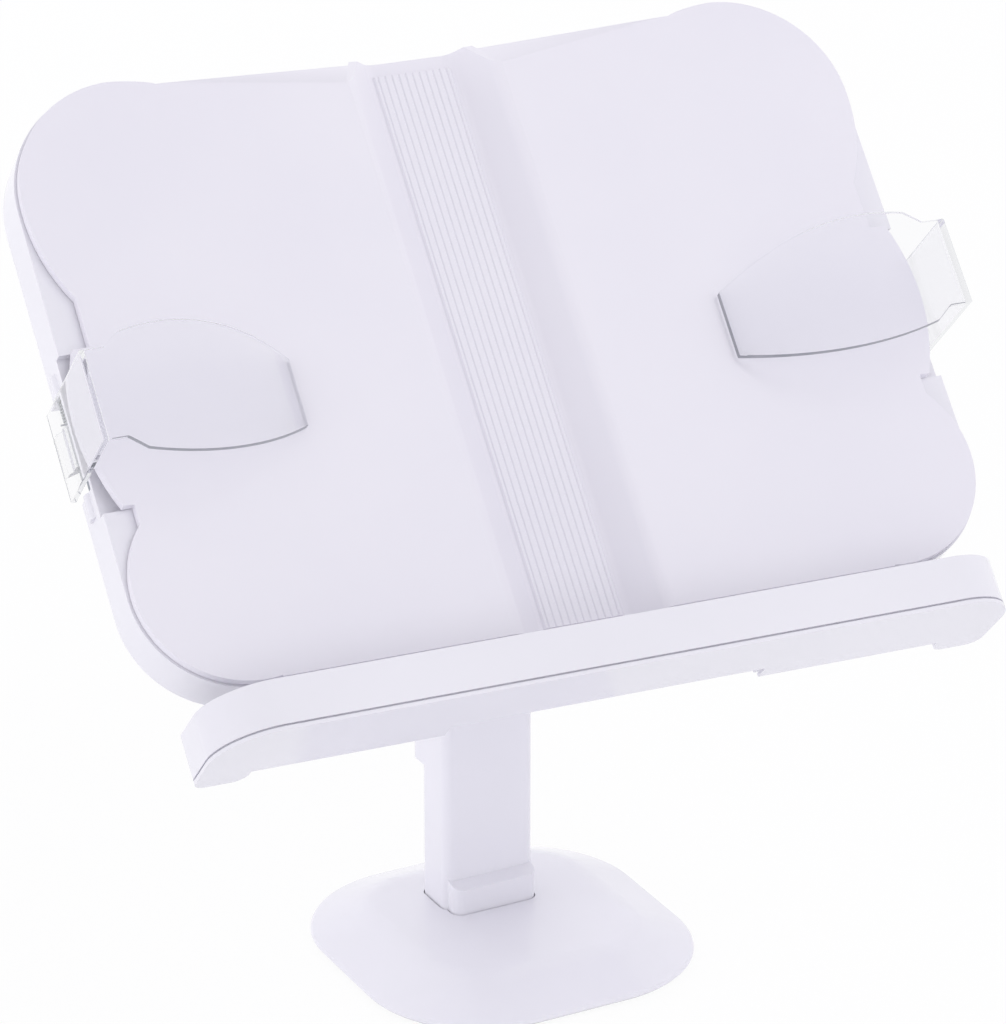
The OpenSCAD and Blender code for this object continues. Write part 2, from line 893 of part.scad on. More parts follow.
module back_cover() {
  color(white)
    on_board()
      difference() {
        slab(-board_depth, -board_depth + wall) frame_outline(-wall - set_gap);
        both()
          translate([recess_x - wall - set_gap, lug_low - set_gap, -board_depth - 1])
            cube([40, lug_gap + 2 * (lug_long + set_gap), 10]);
        for (p = cover_spots)
          translate([p[0], p[1], -board_depth - 1]) {
            cylinder(r = screw_free, h = 10);
            cylinder(r = screw_sink, h = 2);
          }
        for (p = bracket_spots)
          translate([p[0], p[1], -board_depth - 1]) cylinder(r = bracket_free, h = 10);
      }
}

module panel_screws() {
  color(steel)
    on_board()
      for (p = panel_spots)
        translate([p[0], p[1], frame_n - wall]) {
          translate([0, 0, -1.6]) socket_head(screw_head, 1.6, screw_drive);
          translate([0, 0, -eps]) cylinder(r = screw, h = wall - frame_n - panel_skin - 0.2);
        }
}

module cover_screws() {
  color(steel)
    on_board()
      for (p = cover_spots)
        translate([p[0], p[1], -board_depth]) {
          socket_head(screw_head, 1, screw_drive);
          translate([0, 0, 1 - eps]) cylinder(r = screw, h = 9);
        }
}

// Plan of the ledge at [x, n], inset by g.
module ledge_outline(g) {
  r = ledge_corner;
  intersection() {
    union() {
      translate([-half_ledge + r, -end_rear]) square([ledge_length - 2 * r, end_rear + ledge_front - g]);
      translate([-half_ledge + g, -end_rear]) square([ledge_length - 2 * g, end_rear + ledge_front - r]);
      for (x = [-1, 1])
        translate([x * (half_ledge - r), ledge_front - r]) circle(r - g);
    }
    union() {
      translate([-half_ledge, -ledge_rear + g]) square([ledge_length, 100]);
      for (x = [-1, 1])
        translate([x * (half_ledge + end_half) / 2, -end_rear + 50 + g])
          soft_square(half_ledge - end_half + eps, 100, end_corner);
    }
  }
}

module ledge_tray() {
  rail_deep = rail_rear + frame_n;
  color(white)
    on_board()
      difference() {
        union() {
          difference() {
            rail(tray_low, lip_top) ledge_outline(0);
            rail(tray_low + wall, lip_top + 1) ledge_outline(wall);
            rail(tray_low + wall, lip_top + 1) translate([-end_half, -60]) square([2 * end_half, 60 + trough_back]);
          }
          difference() {
            translate([-rail_half, tray_low + 0.5, -rail_rear])
              cube([2 * rail_half, -rim_top - tray_low - 0.5, rail_deep]);
            translate([-rail_half + wall, tray_low, -rail_rear + wall])
              cube([2 * (rail_half - wall), -rim_top - tray_low - wall, rail_deep - 2 * wall]);
          }
          translate([-notch_half - 2, tray_low + 5, -rail_rear + 1])
            cube([2 * notch_half + 4, wall, rail_deep - 2]);
        }
        translate([-notch_half, tray_low - 1, -rail_rear - 1])
          cube([2 * notch_half, 6, rail_rear + notch_n + 1]);
        for (x = rail_spots)
          translate([x, -10, rail_at]) rotate([-90, 0, 0]) cylinder(r = screw_free, h = 20);
        for (x = ledge_spots)
          translate([x, tray_low - 1, ledge_spot_n]) rotate([-90, 0, 0]) cylinder(r = peg + run_fit, h = wall + 0.2);
      }
}

module ledge_cover() {
  color(white)
    on_board()
      difference() {
        union() {
          rail(ledge_low, ledge_low + cover_thick) ledge_outline(0);
          rail(ledge_low, tray_low) ledge_outline(shadow_deep);
          for (x = ledge_spots)
            translate([x, ledge_low + 1, ledge_spot_n]) rotate([-90, 0, 0]) cylinder(r = peg, h = tray_low - ledge_low + wall - 2);
        }
        translate([-notch_half, ledge_low - 1, -rail_rear - 1])
          cube([2 * notch_half, 20, rail_rear + notch_n + 1]);
      }
}

module ledge_screws() {
  color(steel)
    on_board() {
      for (x = rail_spots)
        translate([x, -rim_top - wall, rail_at]) rotate([-90, 0, 0]) {
          translate([0, 0, -2]) socket_head(screw_sink, 2, screw_drive);
          translate([0, 0, -eps]) cylinder(r = screw_free, h = 8);
        }
    }
}

// Plan of a clip seen square to the board at [x, v].
module clip_plan() {
  bar_half = clip_bar / 2;
  shoulder_x = strap_x - (clip_room - bar_half) / flare;
  inner_x = strap_x + 2.5;
  inner_half = bar_half - 2.5 * flare;
  translate([0, clip_v]) {
    translate([strap_x - 3, -bar_half]) square([clip_edge - strap_x + 3, clip_bar]);
    intersection() {
      translate([lens_x, -lens_off]) circle(lens, $fn = 96);
      translate([lens_x, lens_off]) circle(lens, $fn = 96);
      polygon([
        [tip_x, -clip_room], [shoulder_x, -clip_room], [inner_x, -inner_half],
        [inner_x, inner_half], [shoulder_x, clip_room], [tip_x, clip_room]
      ]);
    }
  }
}

module clip() {
  intersection() {
    rail(clip_v - clip_room, clip_v + clip_room)
      translate([bow_x, bow_n])
        difference() {
          circle(clip_bow, $fn = 128);
          circle(clip_bow - clip_sheet, $fn = 128);
        }
    slab(-2, 60) clip_plan();
  }
  difference() {
    union() {
      rail(clip_v - clip_bar / 2, clip_v + clip_bar / 2)
        translate([riser_x, riser_low]) square([clip_sheet, bar_n - riser_low + clip_sheet * 0.9]);
      rail(clip_v - barrel_long / 2, clip_v + barrel_long / 2) {
        translate([pin_x, pin_n]) circle(barrel);
        polygon([
          [riser_x + 0.5, riser_low + 0.3], [riser_x + 0.5, riser_low + 3.5],
          [pin_x + 2, pin_n], [pin_x - 1, pin_n - 2.5]
        ]);
      }
    }
    translate([pin_x, lug_low, pin_n])
      rotate([-90, 0, 0]) cylinder(r = pin + run_fit, h = lug_gap + 2 * lug_long);
  }
}

module clip_pin() {
  translate([pin_x, lug_low + pin_end, pin_n])
    rotate([-90, 0, 0]) cylinder(r = pin, h = lug_gap + 2 * (lug_long - pin_end));
}

// Closed tube of six sides through rings given as [centre, side, side].
module tube(rings, r) {
  sides = 6;
  count = len(rings);
  points = [
    for (ring = rings, k = [0:sides - 1])
      ring[0] + r * (cos(k * 60) * ring[1] + sin(k * 60) * ring[2])
  ];
  skin = [
    for (i = [0:count - 2], k = [0:sides - 1])
      [i * sides + k, i * sides + (k + 1) % sides, (i + 1) * sides + (k + 1) % sides, (i + 1) * sides + k]
  ];
  ends = [
    [for (k = [sides - 1:-1:0]) k],
    [for (k = [0:sides - 1]) (count - 1) * sides + k]
  ];
  polyhedron(points, concat(skin, ends), convexity = 20);
}

module right_clip() {
  color(clear) on_board() clip();
}

module right_clip_pin() {
  color(steel) on_board() clip_pin();
}

module right_clip_spring() {
  color(steel) on_board() tube(spring_rings, wire);
}

module left_clip() {
  color(clear) on_board() mirror([1, 0, 0]) clip();
}

module left_clip_pin() {
  color(steel) on_board() mirror([1, 0, 0]) clip_pin();
}

module left_clip_spring() {
  color(steel) on_board() mirror([1, 0, 0]) tube(spring_rings, wire);
}

base_cover();
base_weight();
base_plate();
base_pad();
base_screws();
column_sleeve();
column_bolts();
sleeve_collar();
clamp_shoe();
clamp_insert();
clamp_knob();
mast();
mast_shoe();
mast_plug();
mast_pins();
mast_head();
swivel_bolt();
tilt_axle();
axle_nut();
friction_washers();
hinge_bracket();
bracket_screws();
face_panel();
spine_strip();
board_frame();
back_cover();
panel_screws();
cover_screws();
ledge_tray();
ledge_cover();
ledge_screws();
left_clip();
left_clip_pin();
left_clip_spring();
right_clip();
right_clip_pin();
right_clip_spring();
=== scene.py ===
"""A white cookbook stand with clear page clips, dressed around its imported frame."""

import logging
import math
from abc import ABC, abstractmethod
from collections.abc import Callable
from dataclasses import dataclass
from enum import Enum

import bpy
from mathutils import Matrix, Vector


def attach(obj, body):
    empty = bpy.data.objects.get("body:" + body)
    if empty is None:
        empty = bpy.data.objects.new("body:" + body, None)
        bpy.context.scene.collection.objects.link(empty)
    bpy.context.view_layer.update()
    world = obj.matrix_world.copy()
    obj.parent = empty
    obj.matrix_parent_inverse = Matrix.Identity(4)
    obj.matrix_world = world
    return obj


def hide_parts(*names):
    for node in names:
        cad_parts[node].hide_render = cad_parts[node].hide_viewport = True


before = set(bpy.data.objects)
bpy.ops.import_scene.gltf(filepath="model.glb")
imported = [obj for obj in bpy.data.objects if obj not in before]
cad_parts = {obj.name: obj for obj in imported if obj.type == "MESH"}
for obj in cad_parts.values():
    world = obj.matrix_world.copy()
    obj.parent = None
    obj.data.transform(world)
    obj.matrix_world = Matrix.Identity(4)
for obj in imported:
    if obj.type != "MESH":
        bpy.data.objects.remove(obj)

LOG = logging.getLogger("cookbook_stand")
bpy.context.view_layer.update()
MM = 0.001
FRAME_WIDTH_PX = 1006
WHITE = (1.0, 1.0, 1.0, 1.0)

# The tilt axle and the board's directions, as the CAD has them at rest.
TILT_AXLE = Vector((0, 20.5, 232.5)) * MM
BOARD_UP = Vector((0, 1, 1)).normalized()
BOARD_OUT = Vector((0, -1, 1)).normalized()

# In a copy of a CAD node, points this close are one point and faces this flat are one face.
WELD_MM = 0.002
FLAT_DEG = 0.4
# An edge that is sharper than this is rounded, and no shading runs across it.
SHARP_DEG = 32.0

# Levels of detail in the noise behind a finish, and where that noise reaches its two shades.
PATCH_DETAIL = 3.0
GRAIN_DETAIL = 2.0
SHADE_SPAN = (0.3, 0.7)


def linear(hex_colour: str) -> tuple[float, float, float, float]:
    """Turns an sRGB hex colour into linear values.

    Args:
        hex_colour: Six hex digits, with or without a leading hash.

    Returns:
        Linear red, green and blue with an alpha of one.
    """
    digits = hex_colour.lstrip("#")
    parts = [int(digits[i:i + 2], 16) / 255 for i in (0, 2, 4)]
    flat = [p / 12.92 if p <= 0.04045 else ((p + 0.055) / 1.055) ** 2.4 for p in parts]
    return (flat[0], flat[1], flat[2], 1.0)


def per_metre(size_mm: float) -> float:
    """Texture scale at which one feature of a pattern is size_mm wide."""
    return 1 / (size_mm * MM)


def add_node(tree: bpy.types.NodeTree, kind: str,
             settings: dict[str | int, object] | None = None,
             links: dict[str | int, bpy.types.NodeSocket] | None = None) -> bpy.types.Node:
    """Adds one shader node.

    Args:
        tree: Node tree that gets the node.
        kind: Blender's type name of the node.
        settings: Properties and socket values by name, or by number where sockets share a name.
        links: Output sockets to join to the node's inputs, by input name or number.

    Returns:
        The new node.
    """
    node = tree.nodes.new(kind)
    for key, value in (settings or {}).items():
        if isinstance(key, int) or key in node.inputs:
            node.inputs[key].default_value = value
        else:
            setattr(node, key, value)
    for key, source in (links or {}).items():
        tree.links.new(source, node.inputs[key])
    return node


@dataclass(frozen=True, kw_only=True)
class Finish(ABC):
    """What every finish has: a material slot, two shades, a gloss and a fine relief."""

    name: str
    slot: str
    light: str
    dark: str
    smooth: float
    relief_mm: float
    relief_depth_mm: float
    relief_strength: float = 0.5
    ior: float = 1.5

    def material(self) -> bpy.types.Material:
        """Finds or makes the finish's material.

        Returns:
            The node material.
        """
        found = bpy.data.materials.get(self.name)
        if found:
            return found
        made = bpy.data.materials.new(self.name)
        made.use_nodes = True
        tree = made.node_tree
        tree.nodes.clear()
        self.surface(tree, add_node(tree, "ShaderNodeOutputMaterial"))
        return made

    def relief(self, tree: bpy.types.NodeTree,
               place: bpy.types.NodeSocket) -> bpy.types.NodeSocket:
        """Adds the nodes of the fine relief.

        Args:
            tree: Node tree of the material.
            place: Socket with the pattern's coordinates.

        Returns:
            The socket with the surface normal.
        """
        grain = add_node(tree, "ShaderNodeTexNoise",
                         {"Scale": per_metre(self.relief_mm), "Detail": GRAIN_DETAIL},
                         {"Vector": place})
        bump = add_node(tree, "ShaderNodeBump",
                        {"Strength": self.relief_strength, "Distance": self.relief_depth_mm * MM},
                        {"Height": grain.outputs["Fac"]})
        return bump.outputs["Normal"]

    @abstractmethod
    def surface(self, tree: bpy.types.NodeTree, output: bpy.types.Node) -> None:
        """Builds the surface nodes.

        Args:
            tree: Node tree of the material.
            output: Its output node.
        """


@dataclass(frozen=True, kw_only=True)
class SolidFinish(Finish):
    """An opaque surface with a little unevenness in colour, gloss and relief."""

    patch_mm: float
    rough: float
    metallic: float = 0.0
    stretch: tuple[float, float, float] = (1.0, 1.0, 1.0)

    def surface(self, tree: bpy.types.NodeTree, output: bpy.types.Node) -> None:
        """Builds the surface from large patches of shade and gloss and a fine relief.

        Args:
            tree: Node tree of the material.
            output: Its output node.
        """
        place = add_node(tree, "ShaderNodeTexCoord")
        stretched = add_node(tree, "ShaderNodeMapping", {"Scale": self.stretch},
                             {"Vector": place.outputs["Object"]})
        patch = add_node(tree, "ShaderNodeTexNoise",
                         {"Scale": per_metre(self.patch_mm), "Detail": PATCH_DETAIL},
                         {"Vector": stretched.outputs["Vector"]})
        tint = add_node(tree, "ShaderNodeValToRGB", {}, {"Fac": patch.outputs["Fac"]})
        for i, shade in enumerate((self.dark, self.light)):
            tint.color_ramp.elements[i].position = SHADE_SPAN[i]
            tint.color_ramp.elements[i].color = linear(shade)
        gloss = add_node(tree, "ShaderNodeMapRange",
                         {"To Min": self.smooth, "To Max": self.rough},
                         {"Value": patch.outputs["Fac"]})
        shader = add_node(tree, "ShaderNodeBsdfPrincipled",
                          {"Metallic": self.metallic, "IOR": self.ior},
                          {"Base Color": tint.outputs["Color"],
                           "Roughness": gloss.outputs["Result"],
                           "Normal": self.relief(tree, stretched.outputs["Vector"])})
        tree.links.new(shader.outputs["BSDF"], output.inputs["Surface"])


@dataclass(frozen=True, kw_only=True)
class ClearSheet(Finish):
    """A clear plastic that takes up light along its length, so that its edges look dark."""

    absorb: str = "9AA0A8"
    density: float = 9.0
    # A ray that was mirrored inside the sheet more often than this goes straight through.
    most_mirrors: float = 1.5

    def surface(self, tree: bpy.types.NodeTree, output: bpy.types.Node) -> None:
        """Builds the clear surface, which lets lamps through, and the absorption inside it.

        Args:
            tree: Node tree of the material.
            output: Its output node.
        """
        place = add_node(tree, "ShaderNodeTexCoord")
        shader = add_node(tree, "ShaderNodeBsdfPrincipled",
                          {"Base Color": linear(self.light), "Roughness": self.smooth,
                           "IOR": self.ior, "Transmission Weight": 1.0},
                          {"Normal": self.relief(tree, place.outputs["Object"])})
        path = add_node(tree, "ShaderNodeLightPath")
        caught = add_node(tree, "ShaderNodeMath",
                          {"operation": "GREATER_THAN", 1: self.most_mirrors},
                          {0: path.outputs["Glossy Depth"]})
        lit = add_node(tree, "ShaderNodeMath", {"operation": "MAXIMUM"},
                       {0: path.outputs["Is Shadow Ray"], 1: path.outputs["Is Diffuse Ray"]})
        straight = add_node(tree, "ShaderNodeMath", {"operation": "MAXIMUM"},
                            {0: lit.outputs["Value"], 1: caught.outputs["Value"]})
        through = add_node(tree, "ShaderNodeBsdfTransparent", {"Color": linear(self.dark)})
        mix = add_node(tree, "ShaderNodeMixShader", {},
                       {"Fac": straight.outputs["Value"], 1: shader.outputs["BSDF"],
                        2: through.outputs["BSDF"]})
        inside = add_node(tree, "ShaderNodeVolumeAbsorption",
                          {"Color": linear(self.absorb), "Density": self.density})
        tree.links.new(mix.outputs["Shader"], output.inputs["Surface"])
        tree.links.new(inside.outputs["Volume"], output.inputs["Volume"])


# Grain, skins, tool marks and draw lines are finer than 0.3 mm on the real pieces. They are drawn
# 0.5 to 1.4 mm wide, so that they show in the render.

# Injection-moulded ABS from a polished tool: an even bluish white whose mirror images waver a bit.
GLOSSY_ABS = SolidFinish(
    name="moulded_gloss_abs", slot="white_shell", light="EEEDF3", dark="EBEAF0", patch_mm=70.0,
    smooth=0.09, rough=0.14, ior=1.54, relief_mm=9.0, relief_depth_mm=0.004)
# The same plastic from a finely blasted tool, on the faces that carry the pages.
SATIN_ABS = SolidFinish(
    name="moulded_satin_abs", slot="white_shell", light="EDEBF2", dark="EAE8F0", patch_mm=80.0,
    smooth=0.34, rough=0.42, ior=1.54, relief_mm=1.4, relief_depth_mm=0.003)
# Polished polycarbonate: clear across the sheet, grey along its length.
CLEAR_PC = ClearSheet(
    name="polished_polycarbonate", slot="clear_clip", light="FDFDFE", dark="FCFCFD", smooth=0.02,
    ior=1.52, relief_mm=25.0, relief_depth_mm=0.002, relief_strength=0.3)
# Painted shade for the sheet's cut faces: an opaque grey that stands in for the darkness which
# light caught inside gives a clear edge.
PAINTED_EDGE_SHADE = SolidFinish(
    name="cut_edge_painted_shade", slot="clear_clip", light="A6A7AE", dark="9A9CA3", patch_mm=12.0,
    smooth=0.3, rough=0.4, ior=1.58, relief_mm=0.8, relief_depth_mm=0.004)
# Zinc-plated steel: pale grey with a soft blue cast.
ZINC_STEEL = SolidFinish(
    name="zinc_plated_steel", slot="steel", light="B9BDC4", dark="9EA3AB", patch_mm=6.0,
    smooth=0.24, rough=0.38, metallic=1.0, relief_mm=0.6, relief_depth_mm=0.004)
# Drawn aluminium tube, satin anodised: fine lines along the draw.
SATIN_ALUMINIUM = SolidFinish(
    name="satin_anodised_aluminium", slot="mast_tube", light="CFD1D4", dark="BFC2C6", patch_mm=5.0,
    smooth=0.3, rough=0.4, metallic=1.0, relief_mm=0.8, relief_depth_mm=0.004,
    stretch=(1.0, 1.0, 0.04))
# Turned brass with fine tool marks.
TURNED_BRASS = SolidFinish(
    name="turned_brass", slot="brass", light="C9AE6A", dark="B1944F", patch_mm=3.0,
    smooth=0.25, rough=0.4, metallic=1.0, relief_mm=0.5, relief_depth_mm=0.005)
# Moulded rubber: near black, dull, with a fine skin.
MATT_RUBBER = SolidFinish(
    name="moulded_rubber", slot="rubber", light="2A2A2C", dark="202022", patch_mm=12.0,
    smooth=0.7, rough=0.85, relief_mm=0.7, relief_depth_mm=0.03)
# Natural nylon: warm white and waxy.
NATURAL_NYLON = SolidFinish(
    name="natural_nylon", slot="nylon", light="E4E1D6", dark="D9D6CA", patch_mm=10.0,
    smooth=0.42, rough=0.55, ior=1.53, relief_mm=1.2, relief_depth_mm=0.008)


class EdgeKind(Enum):
    """How strongly a moulding's edges are rounded, in millimetres."""

    CRISP = 0.2
    FINE = 0.4
    SOFT = 0.8


def select_only(piece: bpy.types.Object) -> None:
    """Deselects everything, then selects one piece and makes it active.

    Args:
        piece: The piece.
    """
    bpy.ops.object.select_all(action="DESELECT")
    piece.select_set(True)
    bpy.context.view_layer.objects.active = piece


def deselect_mesh(mesh: bpy.types.Mesh) -> None:
    """Deselects all points, edges and faces of a mesh."""
    for group in (mesh.vertices, mesh.edges, mesh.polygons):
        group.foreach_set("select", [False] * len(group))


def cad_copy(node: str, name: str) -> bpy.types.Object:
    """Copies a CAD node into a piece with a joined, clean mesh.

    Args:
        node: Name of the CAD node.
        name: Name of the new piece.

    Returns:
        The new piece at the origin.
    """
    piece = bpy.data.objects.new(name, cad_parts[node].data.copy())
    bpy.context.scene.collection.objects.link(piece)
    select_only(piece)
    bpy.ops.object.mode_set(mode="EDIT")
    bpy.ops.mesh.select_all(action="SELECT")
    bpy.ops.mesh.customdata_custom_splitnormals_clear()
    bpy.ops.mesh.remove_doubles(threshold=WELD_MM * MM)
    bpy.ops.mesh.dissolve_limited(angle_limit=math.radians(FLAT_DEG))
    bpy.ops.object.mode_set(mode="OBJECT")
    return piece


def on_board(point: Vector) -> Vector:
    """Turns a point in metres into millimetres across, up and out of the board from the axle."""
    away = (point - TILT_AXLE) / MM
    return Vector((away.x, away.dot(BOARD_UP), away.dot(BOARD_OUT)))


def edit_faces(piece: bpy.types.Object, wanted: Callable[[Vector, Vector], bool]) -> None:
    """Opens a piece in edit mode with some faces selected.

    Args:
        piece: The piece.
        wanted: Tells from a face's centre and normal whether to select it.
    """
    select_only(piece)
    deselect_mesh(piece.data)
    for face in piece.data.polygons:
        face.select = wanted(face.center, face.normal)
    bpy.context.tool_settings.mesh_select_mode = (False, False, True)
    bpy.ops.object.mode_set(mode="EDIT")


def edit_edges(piece: bpy.types.Object, wanted: Callable[[list[Vector]], bool]) -> None:
    """Opens a piece in edit mode with some edges selected.

    Args:
        piece: The piece.
        wanted: Tells from the normals of the faces beside an edge whether to select it.
    """
    select_only(piece)
    mesh = piece.data
    beside: dict[tuple[int, int], list[Vector]] = {}
    for face in mesh.polygons:
        for key in face.edge_keys:
            beside.setdefault(key, []).append(face.normal.copy())
    deselect_mesh(mesh)
    for edge in mesh.edges:
        edge.select = wanted(beside.get(edge.key, []))
    bpy.context.tool_settings.mesh_select_mode = (False, True, False)
    bpy.ops.object.mode_set(mode="EDIT")


def round_edges(piece: bpy.types.Object, edge: EdgeKind, segments: int = 3) -> None:
    """Rounds a piece's sharp edges and smooths its shading.

    Args:
        piece: The piece.
        edge: How strongly the edges are rounded.
        segments: Number of faces across an edge.
    """
    select_only(piece)
    bevel = piece.modifiers.new("edges", "BEVEL")
    bevel.width = edge.value * MM
    bevel.segments = segments
    bevel.limit_method = "ANGLE"
    bevel.angle_limit = math.radians(SHARP_DEG)
    bevel.miter_outer = "MITER_ARC"
    bevel.use_clamp_overlap = True
    bpy.ops.object.modifier_apply(modifier=bevel.name)
    bpy.ops.object.shade_smooth_by_angle(angle=math.radians(SHARP_DEG))
    even = piece.modifiers.new("flat_faces", "WEIGHTED_NORMAL")
    even.keep_sharp = True
    bpy.ops.object.modifier_apply(modifier=even.name)


def dress(piece: bpy.types.Object, finish: Finish) -> None:
    """Gives a piece or CAD node one finish."""
    piece.data.materials.clear()
    piece.data.materials.append(finish.material())


def stand_in(piece: bpy.types.Object, node: str, body: str, finish: Finish) -> None:
    """Dresses a shaped piece and puts it on its body in place of a CAD node.

    Args:
        piece: The piece.
        node: Name of the CAD node that it replaces.
        body: Name of the body that it rides.
        finish: Its finish.
    """
    dress(piece, finish)
    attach(piece, body)
    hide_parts(node)
    LOG.info("%s: %d faces", piece.name, len(piece.data.polygons))


@dataclass
class Moulding:
    """A CAD node that is shown with rounded edges."""

    node: str
    body: str
    finish: Finish
    edge: EdgeKind

    def build(self) -> bpy.types.Object:
        """Makes the rounded piece in place of its node.

        Returns:
            The piece.
        """
        piece = cad_copy(self.node, self.node + "_moulding")
        self.shape(piece)
        round_edges(piece, self.edge)
        stand_in(piece, self.node, self.body, self.finish)
        return piece

    def shape(self, piece: bpy.types.Object) -> None:
        """Reworks the copy before its edges are rounded. A plain moulding needs nothing."""


@dataclass
class RolledPanel(Moulding):
    """The front panel, whose pages roll into the spine channel."""

    roll_mm: float = 3.0
    steps: int = 5
    round_profile: float = 0.5
    # How far a page and a sloped channel wall face out of the board, as cosines.
    page_facing: float = 0.95
    wall_facing: tuple[float, float] = (0.6, 0.8)

    def shape(self, piece: bpy.types.Object) -> None:
        """Rounds the channel's upper edges.

        Args:
            piece: The panel's copy.
        """
        edit_edges(piece, self.upper)
        bpy.ops.mesh.bevel(offset=self.roll_mm * MM, segments=self.steps,
                           profile=self.round_profile, clamp_overlap=False, loop_slide=False)
        bpy.ops.object.mode_set(mode="OBJECT")

    def upper(self, normals: list[Vector]) -> bool:
        """Tells whether an edge lies between a page and a sloped wall of the channel.

        Args:
            normals: Normals of the faces beside the edge.

        Returns:
            True for an upper edge of the channel.
        """
        facing = sorted(normal.dot(BOARD_OUT) for normal in normals)
        least, most = self.wall_facing
        return len(facing) == 2 and facing[1] > self.page_facing and least < facing[0] < most


@dataclass
class SheetClip(Moulding):
    """A clear clip whose cut faces, along the leaf's lower edge and at its tip, get an opaque
    painted grey shade.
    """

    # Opaque painted grey shade for the cut faces, in place of the dark look of a clear edge.
    painted_edge_shade: Finish
    # The leaf and its tip lie this close to the board's middle.
    leaf_mm: float = 172.0
    tip_mm: float = 130.0
    # A cut face leans at least so far to its side, and the tip faces out no more than this.
    least_lean: float = 0.55
    most_out: float = 0.2

    def build(self) -> bpy.types.Object:
        """Makes the clip and paints its cut faces with the grey edge shade.

        Returns:
            The piece.
        """
        piece = super().build()
        # The cut faces take the painted grey shade in a second slot.
        piece.data.materials.append(self.painted_edge_shade.material())
        edit_faces(piece, self.cut)
        piece.active_material_index = 1
        bpy.ops.object.material_slot_assign()
        bpy.ops.object.mode_set(mode="OBJECT")
        return piece

    def cut(self, centre: Vector, normal: Vector) -> bool:
        """Tells whether a face is a cut edge of the leaf.

        Args:
            centre: The face's centre.
            normal: The face's normal.

        Returns:
            True for the leaf's lower edge and its tip.
        """
        across = on_board(centre).x
        inward = normal.x if across < 0 else -normal.x
        lower_edge = normal.dot(BOARD_UP) < -self.least_lean
        tip = (abs(across) < self.tip_mm and inward > self.least_lean
               and normal.dot(BOARD_OUT) < self.most_out)
        return abs(across) < self.leaf_mm and (tip or lower_edge)


